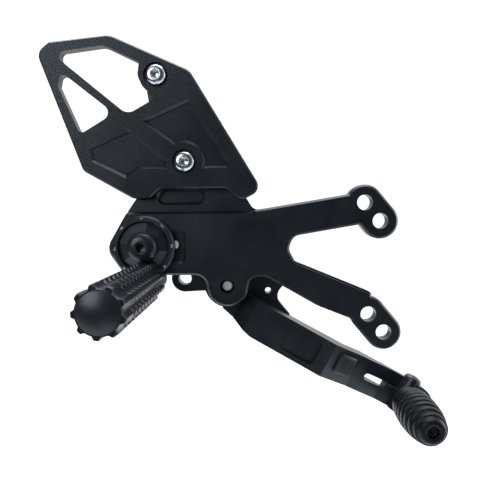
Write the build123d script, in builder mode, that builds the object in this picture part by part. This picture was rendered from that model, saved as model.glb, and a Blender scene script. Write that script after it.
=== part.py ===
"""Right-hand motorcycle rearset: bracket, heel guard, eccentric foot peg and brake lever.

Frame: +X forward along the motorcycle, +Z up, -Y outboard (towards the rider's boot).
The origin is midway between the two rear frame bolts, on the bracket's inboard face.
Heights called h are outboard distances from that face, so a point at height h has y = -h.
All sizes are in millimetres.
"""

from build123d import *
from math import cos, hypot, radians, sin, tan
import os

os.makedirs("parts", exist_ok=True)

# ---------------------------------------------------------------- driving dimensions
# Bracket plate
FACE_H = 8.0                 # outboard face of the plate
PAD_H = -3.0                 # inboard face of the thick left part
SHELF_H = 5.0                # face of the recessed shelf that the heel guard sits on
FRAME_BOLT_R = 4.5           # clearance for M8
FRAME_BOLT_SPACING = 65.0    # upper to lower bolt of each pair
FRONT_PAIR = (8.5, -11.0)    # centre of the front pair, from the rear pair's centre
EDGE = 1.2                   # general edge chamfer
EASE = 1.0                   # least radius of the plate's corners
FIT = 0.05                   # radial clearance of a running fit

# Eccentric foot peg mount
ECC = (-128.5, 12.5)         # centre of the eccentric
DISC_R = 18.0
DISC_TOP_H = 12.5
HUB_TOP_H = 13.5
SUNK_R = 15.0                # sunken ring inside the dial's numbered rim
SUNK_H = 10.8
HUB_FOOT_R = 14.5            # across-flats radius of the hub at its foot and at its top
HUB_TOP_R = 8.9
HUB_TURN = 32.5              # direction of a corner of the hub
BOSS_TOP_H = 25.0
SPIGOT_R = 13.0
PEG_OFFSET = 18.6            # from the eccentric's centre to the peg's axis
PEG_ANGLE = -80.7
DIAL_POSITIONS = 8
PEG = (ECC[0] + PEG_OFFSET * cos(radians(PEG_ANGLE)),
       ECC[1] + PEG_OFFSET * sin(radians(PEG_ANGLE)))

# Foot peg
PEG_R = 11.3
PEG_TOP_H = 106.0
PEG_ROWS = 9                 # rows of teeth around the peg
PEG_TEETH = 10               # teeth along each row
TOOTH_PITCH = 6.2
TOOTH_DEPTH = 1.6
PEG_END_EASE = 0.6
FLUTE_R = 3.4                # round flutes between the rows, cut from this radius
FLUTE_CENTRE_R = 12.9
FLUTE_TURN = 1.5             # direction of the first flute

# Heel guard
GUARD_T = 6.0
GUARD_SCREWS = [(-116.2, 109.9), (-102.5, 60.4)]

# Brake lever, in its own axes: u along the bar from the pivot, v across it (up and forward)
PIVOT = (-81.5, -13.0)
LEVER_ANGLE = -31.0
HUB_OUT_H = -4.0
HUB_IN_H = -16.0
HUB_R = 14.5
BAR_MID_V = -9.7
BAR_W = 21.0
TIP_U = 133.5
TOE_U = 127.5                # toe peg axis and its folding pin, along the bar
FOLD_H = -5.0                # height of the folding pin
CLEVIS = (-107.8, -8.8)      # eye for the master cylinder's rod end
SWITCH_EYE = (-57.4, -18.3)  # eye for the brake light switch's spring
BEARING_R = 8.0
BEARING_W = 5.0
PIVOT_R = 4.0


# ---------------------------------------------------------------- helpers
def face_plane(h, at=(0.0, 0.0), angle=0.0):
    """Plane parallel to the bracket at height h, facing outboard, turned by angle."""
    across = (cos(radians(angle)), 0, sin(radians(angle)))
    return Plane(origin=(at[0], -h, at[1]), x_dir=across, z_dir=(0, -1, 0))


def lever_plane(h):
    """Plane parallel to the bracket in the lever's own u and v axes."""
    return face_plane(h, PIVOT, LEVER_ANGLE)


def lever_point(u, v, h):
    """Position in the frame of a point given in the lever's axes."""
    c, s = cos(radians(LEVER_ANGLE)), sin(radians(LEVER_ANGLE))
    return (PIVOT[0] + u * c - v * s, -h, PIVOT[1] + u * s + v * c)


def lever_side_plane(v):
    """Plane across the bar, with local x along the bar and local y outboard."""
    along = lever_point(1, 0, 0)
    u_dir = (along[0] - PIVOT[0], 0, along[2] - PIVOT[1])
    v_dir = (-u_dir[2], 0, u_dir[0])
    return Plane(origin=lever_point(0, v, 0), x_dir=u_dir, z_dir=(-v_dir[0], 0, -v_dir[2]))


def fold_plane(v):
    """Plane across the folding pin's axis, with local x along the bar and y outboard."""
    side = lever_side_plane(v)
    return Plane(origin=lever_point(TOE_U, v, FOLD_H), x_dir=side.x_dir, z_dir=side.z_dir)


def outline(corners):
    """Closed outline through (x, y, radius) corners, added to the sketch in work."""
    ends = []
    for i, (x, y, radius) in enumerate(corners):
        corner = Vector(x, y)
        back = Vector(*corners[i - 1][:2]) - corner
        ahead = Vector(*corners[(i + 1) % len(corners)][:2]) - corner
        half_turn = radians(180 - back.get_angle(ahead)) / 2
        reach = min(radius * tan(half_turn), 0.49 * back.length, 0.49 * ahead.length)
        bisector = (back.normalized() + ahead.normalized()).normalized()
        depth = reach / sin(half_turn) * (1 - cos(half_turn)) if reach else 0
        ends.append((corner + back.normalized() * reach, corner + bisector * depth,
                     corner + ahead.normalized() * reach))
    with BuildLine() as path:
        for i, (start, middle, end) in enumerate(ends):
            if (start - end).length > 1e-6:
                ThreePointArc(start, middle, end)
            Line(end, ends[(i + 1) % len(ends)][0])
    make_face(path.edges())


def front_edges(part, h):
    """Edges that lie in the outboard face at height h."""
    def in_face(edge):
        return abs(edge.center().Y + h) < 1e-4 and abs(edge.bounding_box().size.Y) < 1e-4

    return part.edges().filter_by(in_face)


def rim_edges(part, h, at, reach):
    """Edges in the outboard face at height h whose middles are within reach of a point."""
    def near(edge):
        return hypot(edge.center().X - at[0], edge.center().Z - at[1]) < reach

    return front_edges(part, h).filter_by(near)


# ---------------------------------------------------------------- mounting bracket
BODY = [
    (-151.6, 12.0, 9.0), (-137.2, 34.6, 9.0), (-118.0, 60.0, 12.0), (-124.6, 118.0, 7.0),
    (-110.4, 118.5, 7.0), (-95.0, 62.0, 14.0), (-76.0, 52.0, 8.0), (-63.9, 30.9, 5.0),
    (-9.0, 37.7, 6.0), (0.0, 43.0, 8.0), (0.0, 25.0, 3.0), (-3.2, 19.9, 3.0),
    (-41.5, 14.9, 6.0), (-44.9, 7.5, 6.0), (-41.2, -0.1, 3.0), (2.2, -20.0, 2.0),
    (3.0, -34.0, 3.0), (-6.5, -36.5, 3.0), (-29.0, -26.6, 6.0), (-58.5, -8.2, 5.0),
    (-68.0, -8.2, 5.0), (-70.5, -20.0, 6.0), (-81.5, -26.0, 9.0), (-92.0, -20.0, 6.0),
    (-94.5, -5.8, 7.0), (-118.0, -4.8, 3.0), (-139.6, -6.6, 9.0),
]
# Lower edge of the shelf, turning up where it meets the upper arm
STEP_LINE = ((-150.0, 32.2), (-67.0, 29.2), (-61.0, 32.0))
CAPSULE = (-106.4, 40.6)
DIAL_WINDOW = (-109.7, 11.6)
DIAL_WINDOW_SIZE = (10.2, 19.4)
RECESS_TILT = -2.2
RECESS_WALL = 1.4            # width of the recesses' sloping walls
RECESS_DEPTH = 1.9
PAIR_SLANT = -52.3           # direction from each rear bolt to the front one beside it
ARM_END = (13.9, 20.6)       # bolt to bolt and full width of each arm's rounded end
BEVEL_START = (-44.0, 1.6)   # the lower arm's upper edge, running forward and down from here
BEVEL_RUN = (0.906, -0.423)
ARM_BEVEL = [(3.0, 0.2), (9.0, 3.5), (46.0, 3.5), (52.0, 0.2)]   # distance along, bevel's width


def bolt_pair(side):
    """Rear and front frame bolt at one end of the bracket, side +1 above and -1 below."""
    rise = side * FRAME_BOLT_SPACING / 2
    return [(0.0, rise), (FRONT_PAIR[0], FRONT_PAIR[1] + rise)]


def bevel_plane(distance):
    """Plane across the lower arm, local x outboard and local y into the arm's upper edge."""
    at = (BEVEL_START[0] + distance * BEVEL_RUN[0], BEVEL_START[1] + distance * BEVEL_RUN[1])
    return Plane(origin=(at[0], -FACE_H, at[1]), x_dir=(0, -1, 0), z_dir=(BEVEL_RUN[0], 0, BEVEL_RUN[1]))


def bevel_section(width):
    """Corner cut off the lower arm by the bevel, with a little over outside the metal."""
    Polygon((0.1, -width - 0.1), (0.1, 1.0), (-width - 1.0, 1.0), align=None)


UPPER_PAIR = bolt_pair(1)
LOWER_PAIR = bolt_pair(-1)

with BuildPart() as mounting_bracket:
    with BuildSketch(face_plane(0)):
        outline(BODY)
        for pair in (UPPER_PAIR, LOWER_PAIR):
            with Locations(((pair[0][0] + pair[1][0]) / 2, (pair[0][1] + pair[1][1]) / 2)):
                SlotCenterToCenter(ARM_END[0], ARM_END[1], rotation=PAIR_SLANT)
        with Locations(PIVOT):
            Circle(11.8)
        with Locations(ECC):
            Circle(18.9)
        # Growing, shrinking and growing back rounds every corner by at least EASE
        offset(amount=EASE)
        offset(amount=-2 * EASE)
        offset(amount=EASE)
    extrude(amount=FACE_H)
    chamfer(front_edges(mounting_bracket.part, FACE_H), length=EDGE)
    with BuildSketch(face_plane(0)):
        with Locations(ECC):
            Circle(18.2)
        with Locations(PIVOT):
            Circle(11.1)
        outline([(-146.5, 14.0, 16.0), (-132.0, 29.5, 8.0), (-86.0, 28.0, 10.0), (-71.5, -9.0, 8.0),
                 (-80.0, -16.0, 4.0), (-93.0, -4.0, 4.0), (-132.0, -3.4, 4.0)])
        offset(amount=EASE)
        offset(amount=-2 * EASE)
        offset(amount=EASE)
    extrude(amount=PAD_H)
    # Shelf for the heel guard, with a round root along its lower edge
    with BuildSketch(face_plane(FACE_H)):
        Polygon(*STEP_LINE, (-61.0, 130.0), (-150.0, 130.0), align=None)
    extrude(amount=SHELF_H - FACE_H, mode=Mode.SUBTRACT)
    # Lightening pocket in the shelf and index window beside the dial, both with sloping walls
    with BuildSketch(face_plane(SHELF_H, CAPSULE, RECESS_TILT)):
        SlotOverall(28.5 - 2 * RECESS_WALL, 9.4 - 2 * RECESS_WALL)
    extrude(amount=-RECESS_DEPTH, mode=Mode.SUBTRACT)
    chamfer(rim_edges(mounting_bracket.part, SHELF_H, CAPSULE, 13.0), length=RECESS_WALL)
    with BuildSketch(face_plane(FACE_H, DIAL_WINDOW, RECESS_TILT)):
        RectangleRounded(DIAL_WINDOW_SIZE[0] - 2 * RECESS_WALL, DIAL_WINDOW_SIZE[1] - 2 * RECESS_WALL, 1.2)
    extrude(amount=-RECESS_DEPTH, mode=Mode.SUBTRACT)
    chamfer(rim_edges(mounting_bracket.part, FACE_H, DIAL_WINDOW, 11.0), length=RECESS_WALL)
    # Frame bolt holes
    with BuildSketch(face_plane(FACE_H)):
        with Locations(*UPPER_PAIR, *LOWER_PAIR):
            Circle(FRAME_BOLT_R)
    extrude(amount=-FACE_H, mode=Mode.SUBTRACT)
    # Eccentric bore, and the pivot's counterbore and tapped hole
    with BuildSketch(face_plane(FACE_H)):
        with Locations(ECC):
            Circle(SPIGOT_R)
    extrude(amount=PAD_H - FACE_H, mode=Mode.SUBTRACT)
    with BuildSketch(face_plane(FACE_H)):
        with Locations(PIVOT):
            Circle(4.2)
    extrude(amount=-6.0, mode=Mode.SUBTRACT)
    with BuildSketch(face_plane(FACE_H)):
        with Locations(PIVOT):
            Circle(3.0 + FIT)
    extrude(amount=PAD_H - FACE_H, mode=Mode.SUBTRACT)
    # Tapped holes for the heel guard's screws
    with BuildSketch(face_plane(FACE_H)):
        with Locations(*GUARD_SCREWS):
            Circle(3.0 + FIT)
    extrude(amount=-FACE_H, mode=Mode.SUBTRACT)
    # Wide bevel along the lower arm's upper edge
    for start, end in zip(ARM_BEVEL, ARM_BEVEL[1:]):
        with BuildSketch(bevel_plane(start[0])):
            bevel_section(start[1])
        with BuildSketch(bevel_plane(end[0])):
            bevel_section(end[1])
        loft(mode=Mode.SUBTRACT)
mounting_bracket.part.label = "mounting_bracket"
export_step(mounting_bracket.part, "parts/mounting_bracket.step")

# ---------------------------------------------------------------- heel guard
GUARD_OUTLINE = [
    (-183.6, 126.0, 8.0), (-176.0, 131.4, 3.0), (-141.5, 133.6, 12.0), (-97.0, 111.6, 9.0),
    (-58.8, 42.4, 5.5), (-70.5, 37.0, 4.0), (-80.0, 44.4, 4.0), (-117.3, 45.7, 4.0),
    (-123.6, 40.6, 3.0), (-133.0, 40.6, 6.0), (-161.0, 57.8, 6.0),
]
REAR_OPENING = [
    (-169.9, 125.6, 3.0), (-144.6, 127.8, 8.0), (-125.3, 117.4, 1.5), (-126.6, 110.0, 6.0),
    (-124.0, 103.4, 6.0), (-115.6, 97.6, 3.2), (-133.6, 88.4, 7.0), (-170.8, 121.4, 3.0),
]
LOWER_OPENING = [
    (-170.4, 114.5, 3.0), (-141.2, 89.6, 4.5), (-161.4, 78.6, 3.0), (-172.4, 106.6, 2.0),
]
REAR_POCKET = [
    (-133.4, 80.4, 2.0), (-110.2, 59.2, 2.0), (-111.8, 57.0, 1.0), (-129.0, 57.4, 5.0),
    (-136.5, 52.4, 1.0), (-156.2, 63.2, 2.0), (-157.6, 71.2, 2.0),
]
FRONT_POCKET = [
    (-126.0, 84.8, 1.5), (-98.0, 95.8, 2.0), (-75.0, 56.0, 2.5), (-91.4, 56.0, 1.0),
    (-108.0, 70.2, 1.0),
]
POCKET_DEPTH = 2.2
POCKET_WALL = 1.5            # width of the pockets' sloping walls
HEAD_RECESS_R = 7.1
BOSS_R = 10.7

guard_top_h = SHELF_H + GUARD_T
with BuildPart() as heel_guard:
    with BuildSketch(face_plane(SHELF_H)):
        outline(GUARD_OUTLINE)
    extrude(amount=GUARD_T)
    chamfer(front_edges(heel_guard.part, guard_top_h), length=0.8)
    # Pockets with sloping walls, cut before anything else is inside the front face
    for pocket in (REAR_POCKET, FRONT_POCKET):
        with BuildSketch(face_plane(guard_top_h)):
            outline(pocket)
            with Locations(GUARD_SCREWS[1]):
                Circle(BOSS_R, mode=Mode.SUBTRACT)
            offset(amount=-POCKET_WALL)
        extrude(amount=-POCKET_DEPTH, mode=Mode.SUBTRACT)
    rims = heel_guard.faces().sort_by(Axis.Y)[0].inner_wires()
    chamfer([edge for rim in rims for edge in rim.edges()], length=POCKET_WALL)
    for opening in (REAR_OPENING, LOWER_OPENING):
        with BuildSketch(face_plane(SHELF_H)):
            outline(opening)
        extrude(amount=GUARD_T, mode=Mode.SUBTRACT)
    with BuildSketch(face_plane(guard_top_h)):
        with Locations(*GUARD_SCREWS):
            Circle(HEAD_RECESS_R)
    extrude(amount=-1.5, mode=Mode.SUBTRACT)
    with BuildSketch(face_plane(guard_top_h)):
        with Locations(*GUARD_SCREWS):
            Circle(3.25)
    extrude(amount=-GUARD_T, mode=Mode.SUBTRACT)
heel_guard.part.label = "heel_guard"
export_step(heel_guard.part, "parts/heel_guard.step")


# ---------------------------------------------------------------- fasteners
def button_screw(plane, head_r, head_h, shank_r, shank_l, socket_r, socket_depth):
    """Domed socket screw: plane is under the head and faces the way the head points."""
    def height(shape):
        return (shape.center() - plane.origin).dot(plane.z_dir)

    with BuildPart(mode=Mode.PRIVATE) as screw:
        with BuildSketch(plane):
            Circle(head_r)
        extrude(amount=head_h)
        rim = screw.faces().sort_by(height)[-1].edges()
        side = screw.faces().sort_by(height)[1]
        chamfer(rim, length=head_h * 0.55, length2=head_r * 0.38, reference=side)
        with BuildSketch(plane.offset(head_h)):
            RegularPolygon(socket_r, 6)
        extrude(amount=-socket_depth, mode=Mode.SUBTRACT)
        with BuildSketch(plane):
            Circle(shank_r)
        extrude(amount=-shank_l)
        chamfer(screw.faces().sort_by(height)[0].edges(), length=shank_r * 0.2)
    return screw.part


with BuildPart() as heel_guard_screws:
    for spot in GUARD_SCREWS:
        add(button_screw(face_plane(guard_top_h - 1.5, spot), 5.9, 3.3, 3.0, 9.0, 2.3, 1.9))
heel_guard_screws.part.label = "heel_guard_screws"
export_step(heel_guard_screws.part, "parts/heel_guard_screws.step")

# ---------------------------------------------------------------- eccentric
with BuildPart() as peg_eccentric:
    with BuildSketch(face_plane(FACE_H + 0.3, ECC)):
        Circle(DISC_R)
    extrude(amount=DISC_TOP_H - FACE_H - 0.3)
    chamfer(front_edges(peg_eccentric.part, DISC_TOP_H), length=0.8)
    # Sunken ring inside the numbered rim, with an eight-sided sloping hub rising from its floor
    with BuildSketch(face_plane(DISC_TOP_H, ECC)):
        Circle(SUNK_R)
    extrude(amount=SUNK_H - DISC_TOP_H, mode=Mode.SUBTRACT)
    with BuildSketch(face_plane(SUNK_H, ECC)):
        RegularPolygon(HUB_FOOT_R, DIAL_POSITIONS, major_radius=False, rotation=HUB_TURN)
    with BuildSketch(face_plane(HUB_TOP_H, ECC)):
        RegularPolygon(HUB_TOP_R, DIAL_POSITIONS, major_radius=False, rotation=HUB_TURN)
    loft()
    # Offset boss that carries the peg
    with BuildSketch(face_plane(FACE_H + 0.3, PEG)):
        Circle(9.0)
    extrude(amount=BOSS_TOP_H - FACE_H - 0.3)
    with BuildSketch(face_plane(HUB_TOP_H, ECC)):
        Circle(9.4)
    extrude(amount=BOSS_TOP_H - HUB_TOP_H, mode=Mode.SUBTRACT)
    # Spigot in the bracket's bore
    with BuildSketch(face_plane(FACE_H + 0.3, ECC)):
        Circle(SPIGOT_R - FIT)
    extrude(amount=PAD_H + 0.2 - FACE_H - 0.3)
    # Clamp bolt hole, and the peg bolt's countersunk hole
    with BuildSketch(face_plane(HUB_TOP_H, ECC)):
        Circle(5.0 + FIT)
    extrude(amount=PAD_H - HUB_TOP_H, mode=Mode.SUBTRACT)
    with BuildSketch(face_plane(BOSS_TOP_H, PEG)):
        Circle(4.0 + FIT)
    extrude(amount=FACE_H - BOSS_TOP_H, mode=Mode.SUBTRACT)
    with BuildSketch(face_plane(FACE_H + 0.3, PEG)):
        Circle(7.6)
    with BuildSketch(face_plane(FACE_H + 3.9, PEG)):
        Circle(4.0 + FIT)
    loft(mode=Mode.SUBTRACT)
peg_eccentric.part.label = "peg_eccentric"
export_step(peg_eccentric.part, "parts/peg_eccentric.step")

WASHER_T = 1.6
NUT_H = 8.4
clamp_length = HUB_TOP_H - PAD_H + WASHER_T + NUT_H + 1.5
with BuildPart() as eccentric_clamp_bolt:
    add(button_screw(face_plane(HUB_TOP_H, ECC), 8.75, 5.5, 5.0, clamp_length, 3.46, 3.2))
eccentric_clamp_bolt.part.label = "eccentric_clamp_bolt"
export_step(eccentric_clamp_bolt.part, "parts/eccentric_clamp_bolt.step")

with BuildPart() as eccentric_washer:
    with BuildSketch(face_plane(PAD_H, ECC)):
        Circle(15.0)
        Circle(5.0 + FIT, mode=Mode.SUBTRACT)
    extrude(amount=-WASHER_T)
    chamfer(eccentric_washer.edges().filter_by(GeomType.CIRCLE).sort_by(Axis.Y)[-2:], length=0.3)
eccentric_washer.part.label = "eccentric_washer"
export_step(eccentric_washer.part, "parts/eccentric_washer.step")

nut_h = PAD_H - WASHER_T
with BuildPart() as eccentric_lock_nut:
    with BuildSketch(face_plane(nut_h, ECC)):
        RegularPolygon(8.0, 6, major_radius=False)
    extrude(amount=-6.4)
    with BuildSketch(face_plane(nut_h - 6.4, ECC)):
        Circle(7.2)
    extrude(amount=6.4 - NUT_H)
    with BuildSketch(face_plane(nut_h, ECC)):
        Circle(5.0 + FIT)
    extrude(amount=-NUT_H, mode=Mode.SUBTRACT)
eccentric_lock_nut.part.label = "eccentric_lock_nut"
export_step(eccentric_lock_nut.part, "parts/eccentric_lock_nut.step")

# ---------------------------------------------------------------- foot peg
peg_len = PEG_TOP_H - BOSS_TOP_H
teeth_start = 11.0
peg_side = Plane(origin=(PEG[0], -BOSS_TOP_H, PEG[1]), x_dir=(1, 0, 0), z_dir=(0, 0, 1))
# Local x is the radius and local y points inboard, so heights along the peg are negative.
with BuildPart() as foot_peg:
    with BuildSketch(peg_side):
        with BuildLine():
            points = [(0, 0), (PEG_R - 1.0, 0), (PEG_R, -1.0), (PEG_R, -teeth_start)]
            for tooth in range(PEG_TEETH):
                root = teeth_start + tooth * TOOTH_PITCH
                points += [(PEG_R - TOOTH_DEPTH, -root - 1.4), (PEG_R - TOOTH_DEPTH, -root - 2.6)]
                points += [(PEG_R, -root - 3.6), (PEG_R, -root - TOOTH_PITCH)]
            points += [(PEG_R, PEG_END_EASE - peg_len), (PEG_R - PEG_END_EASE, -peg_len)]
            points += [(0, -peg_len), (0, 0)]
            Polyline(*points)
        make_face()
    revolve(axis=Axis((PEG[0], 0, PEG[1]), (0, 1, 0)))
    # Flutes between the rows of teeth
    with BuildSketch(face_plane(BOSS_TOP_H, PEG)):
        with PolarLocations(FLUTE_CENTRE_R, PEG_ROWS, start_angle=FLUTE_TURN):
            Circle(FLUTE_R)
    extrude(amount=peg_len, mode=Mode.SUBTRACT)
    # Tapped hole for the peg bolt, and the socket for the end cap
    with BuildSketch(face_plane(BOSS_TOP_H, PEG)):
        Circle(4.0 + FIT)
    extrude(amount=24.0, mode=Mode.SUBTRACT)
    with BuildSketch(face_plane(PEG_TOP_H, PEG)):
        Circle(8.0)
    extrude(amount=-10.0, mode=Mode.SUBTRACT)
foot_peg.part.label = "foot_peg"
export_step(foot_peg.part, "parts/foot_peg.step")

with BuildPart() as foot_peg_end_cap:
    with BuildSketch(face_plane(PEG_TOP_H, PEG)):
        Circle(9.1)
    extrude(amount=0.6)
    with BuildSketch(peg_side):
        with BuildLine():
            rim = (9.1, -peg_len - 0.6)
            crown = (0, -peg_len - 2.4)
            Line((0, -peg_len - 0.6), rim)
            ThreePointArc(rim, (4.7, -peg_len - 1.95), crown)
            Line(crown, (0, -peg_len - 0.6))
        make_face()
    revolve(axis=Axis((PEG[0], 0, PEG[1]), (0, 1, 0)))
    with BuildSketch(face_plane(PEG_TOP_H, PEG)):
        Circle(8.0)
        Circle(6.2, mode=Mode.SUBTRACT)
    extrude(amount=-8.0)
foot_peg_end_cap.part.label = "foot_peg_end_cap"
export_step(foot_peg_end_cap.part, "parts/foot_peg_end_cap.step")

with BuildPart() as foot_peg_bolt:
    with BuildSketch(face_plane(FACE_H + 0.4, PEG)):
        Circle(7.4)
    with BuildSketch(face_plane(FACE_H + 3.8, PEG)):
        Circle(4.0)
    loft()
    with BuildSketch(face_plane(FACE_H + 3.8, PEG)):
        Circle(4.0)
    extrude(amount=BOSS_TOP_H + 22.0 - FACE_H - 3.8)
    with BuildSketch(face_plane(FACE_H + 0.4, PEG)):
        RegularPolygon(2.9, 6)
    extrude(amount=2.8, mode=Mode.SUBTRACT)
foot_peg_bolt.part.label = "foot_peg_bolt"
export_step(foot_peg_bolt.part, "parts/foot_peg_bolt.step")

# ---------------------------------------------------------------- brake lever
BAR_PROFILE = [
    (4.0, HUB_OUT_H), (12.0, HUB_OUT_H), (20.5, 6.0), (72.5, 10.0), (92.0, 0.0), (98.0, -1.4),
    (113.0, -6.5), (TOE_U, -6.5), (TOE_U, 0.0), (146.0, 0.0), (146.0, -12.0), (92.0, -12.0),
    (80.0, -5.5), (24.0, -5.5), (13.0, HUB_IN_H), (4.0, HUB_IN_H),
]
EAR_R = 5.2
SLOT_W = 4.4
SLOT_U = 99.5
PAD_AT = (84.4, -8.4, 5.9)    # middle of the raised pad's face: along the bar, across it, outboard
PAD_SIZE = (13.2, 12.2)
PAD_SUNK = 3.4               # thickness of the pad with what is sunk in the bar
PAD_SLOPE = -27.1
half_w = BAR_W / 2
bar_low = BAR_MID_V - half_w
bar_high = BAR_MID_V + half_w


def slope_plane(at):
    """Plane along the bar's outer slope at a point in the lever's axes, facing out of the metal."""
    c, s = cos(radians(PAD_SLOPE)), sin(radians(PAD_SLOPE))
    origin = Vector(*lever_point(*at))
    along = Vector(*lever_point(at[0] + c, at[1], at[2] + s)) - origin
    out = Vector(*lever_point(at[0] - s, at[1], at[2] + c)) - origin
    return Plane(origin=origin, x_dir=along, z_dir=out)


with BuildPart() as brake_lever:
    # Bar: the plan outline extruded, then cut to its stepped side profile
    with BuildSketch(lever_plane(-20)):
        outline([(0.0, bar_high, 0.0), (TIP_U + half_w, bar_high, half_w - 0.01),
                 (TIP_U + half_w, bar_low, half_w - 0.01), (26.0, bar_low, 10.0), (2.0, -14.3, 0.0)])
    extrude(amount=40)
    with BuildSketch(lever_side_plane(bar_high + 1)):
        with BuildLine():
            Polyline(*BAR_PROFILE, close=True)
        make_face()
        with Locations((TOE_U, FOLD_H)):
            Circle(EAR_R)
    extrude(amount=BAR_W + 2, mode=Mode.INTERSECT)
    # Hub, rod-end eye and switch eye, all behind the bracket
    with BuildSketch(face_plane(HUB_IN_H)):
        with Locations(PIVOT):
            Circle(HUB_R)
    extrude(amount=HUB_OUT_H - HUB_IN_H)
    with BuildSketch(face_plane(HUB_OUT_H - 1.0)):
        with Locations(CLEVIS):
            Circle(8.2)
        outline([(-107.8, -0.6, 0.0), (-84.0, 0.5, 0.0), (-82.0, -27.4, 0.0), (-94.0, -16.8, 6.0),
                 (-107.8, -17.0, 0.0)])
        outline([(-84.0, 0.0, 0.0), (-60.0, -6.0, 0.0), (-45.0, -12.0, 2.0), (-53.8, -22.0, 7.0),
                 (-44.5, -34.0, 0.0), (-62.0, -34.0, 0.0), (-80.0, -20.0, 0.0)])
    extrude(amount=-7.0)
    # Pocket in the front face, raised pad on the sloping face
    with BuildSketch(lever_plane(20)):
        with Locations((54.7, BAR_MID_V)):
            RectangleRounded(21.5, 15.0, 2.0)
    extrude(amount=-13.2, mode=Mode.SUBTRACT)
    with BuildSketch(slope_plane(PAD_AT)):
        RectangleRounded(PAD_SIZE[0], PAD_SIZE[1], 1.6)
    extrude(amount=-PAD_SUNK)
    pad_rim = brake_lever.faces().sort_by_distance(lever_point(*PAD_AT))[0].edges()
    chamfer(pad_rim, length=0.6)
    # Slot for the toe peg's tongue, bores for the folding pin
    with BuildSketch(lever_plane(20)):
        with Locations(((SLOT_U + 150) / 2, BAR_MID_V)):
            SlotOverall(150 - SLOT_U, SLOT_W)
    extrude(amount=-40, mode=Mode.SUBTRACT)
    with BuildSketch(fold_plane(bar_high + 1)):
        Circle(3.0 + FIT)
    extrude(amount=BAR_W + 2, mode=Mode.SUBTRACT)
    # Bearing bore and the two eyes' holes
    with BuildSketch(face_plane(HUB_IN_H)):
        with Locations(PIVOT):
            Circle(BEARING_R)
    extrude(amount=HUB_OUT_H - HUB_IN_H, mode=Mode.SUBTRACT)
    with BuildSketch(face_plane(-20)):
        with Locations(CLEVIS):
            Circle(4.0)
        with Locations(SWITCH_EYE):
            Circle(1.9)
    extrude(amount=20, mode=Mode.SUBTRACT)
brake_lever.part.label = "brake_lever"
export_step(brake_lever.part, "parts/brake_lever.step")

# ---------------------------------------------------------------- lever bearings and pivot
bearing_tops = (HUB_OUT_H - 0.3, HUB_IN_H + 0.3 + BEARING_W)
INNER_RACE_R = 5.2
OUTER_RACE_R = 6.9
BALL_R = 0.8
BALLS = 12


def rings(outer, inner, tops, length):
    """Group of coaxial rings about the pivot, each running inboard from its top height."""
    with BuildPart(mode=Mode.PRIVATE) as group:
        for top in tops:
            with BuildSketch(face_plane(top, PIVOT)):
                Circle(outer)
                Circle(inner, mode=Mode.SUBTRACT)
            extrude(amount=-length)
    return group.part


with BuildPart() as bearing_outer_races:
    add(rings(BEARING_R, OUTER_RACE_R, bearing_tops, BEARING_W))
bearing_outer_races.part.label = "bearing_outer_races"
export_step(bearing_outer_races.part, "parts/bearing_outer_races.step")

with BuildPart() as bearing_inner_races:
    add(rings(INNER_RACE_R, PIVOT_R, bearing_tops, BEARING_W))
bearing_inner_races.part.label = "bearing_inner_races"
export_step(bearing_inner_races.part, "parts/bearing_inner_races.step")

with BuildPart() as bearing_seals:
    seal_tops = [top - inset for top in bearing_tops for inset in (0.3, BEARING_W - 0.8)]
    add(rings(OUTER_RACE_R, INNER_RACE_R + 0.15, seal_tops, 0.5))
bearing_seals.part.label = "bearing_seals"
export_step(bearing_seals.part, "parts/bearing_seals.step")

with BuildPart() as bearing_balls:
    for top in bearing_tops:
        with Locations(face_plane(top - BEARING_W / 2, PIVOT)):
            with PolarLocations((INNER_RACE_R + OUTER_RACE_R) / 2, BALLS):
                Sphere(BALL_R)
bearing_balls.part.label = "bearing_balls"
export_step(bearing_balls.part, "parts/bearing_balls.step")

spacer_top = bearing_tops[0] - BEARING_W
with BuildPart() as pivot_spacer:
    add(rings(INNER_RACE_R, PIVOT_R, [spacer_top], spacer_top - bearing_tops[1]))
pivot_spacer.part.label = "pivot_spacer"
export_step(pivot_spacer.part, "parts/pivot_spacer.step")

with BuildPart() as pivot_shim:
    add(rings(INNER_RACE_R + 0.2, PIVOT_R, [PAD_H], PAD_H - bearing_tops[0]))
pivot_shim.part.label = "pivot_shim"
export_step(pivot_shim.part, "parts/pivot_shim.step")

head_washer_t = 1.4
with BuildPart() as pivot_washer:
    add(rings(7.6, PIVOT_R, [HUB_IN_H + 0.3], head_washer_t))
pivot_washer.part.label = "pivot_washer"
export_step(pivot_washer.part, "parts/pivot_washer.step")

pivot_head_h = HUB_IN_H + 0.3 - head_washer_t
under_pivot_head = Plane(origin=(PIVOT[0], -pivot_head_h, PIVOT[1]), x_dir=(1, 0, 0), z_dir=(0, 1, 0))
with BuildPart() as pivot_bolt:
    add(button_screw(under_pivot_head, 7.0, 4.4, PIVOT_R, PAD_H - pivot_head_h, 2.9, 2.6))
    with BuildSketch(face_plane(PAD_H, PIVOT)):
        Circle(3.0)
    extrude(amount=4.4)
    chamfer(front_edges(pivot_bolt.part, PAD_H + 4.4), length=0.6)
pivot_bolt.part.label = "pivot_bolt"
export_step(pivot_bolt.part, "parts/pivot_bolt.step")

# ---------------------------------------------------------------- folding toe peg
FLANGE_H = 0.4
TONGUE_L = 14.5              # reach of the tongue behind the folding pin
SLEEVE_H = 1.5
SLEEVE_TOP_H = 45.0
SEAT_H = SLEEVE_TOP_H - 4.4   # where the end screw's head sits
toe_centre = lever_point(TOE_U, BAR_MID_V, 0)
TOE = (toe_centre[0], toe_centre[2])
toe_axis = Axis((TOE[0], 0, TOE[1]), (0, 1, 0))

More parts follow.
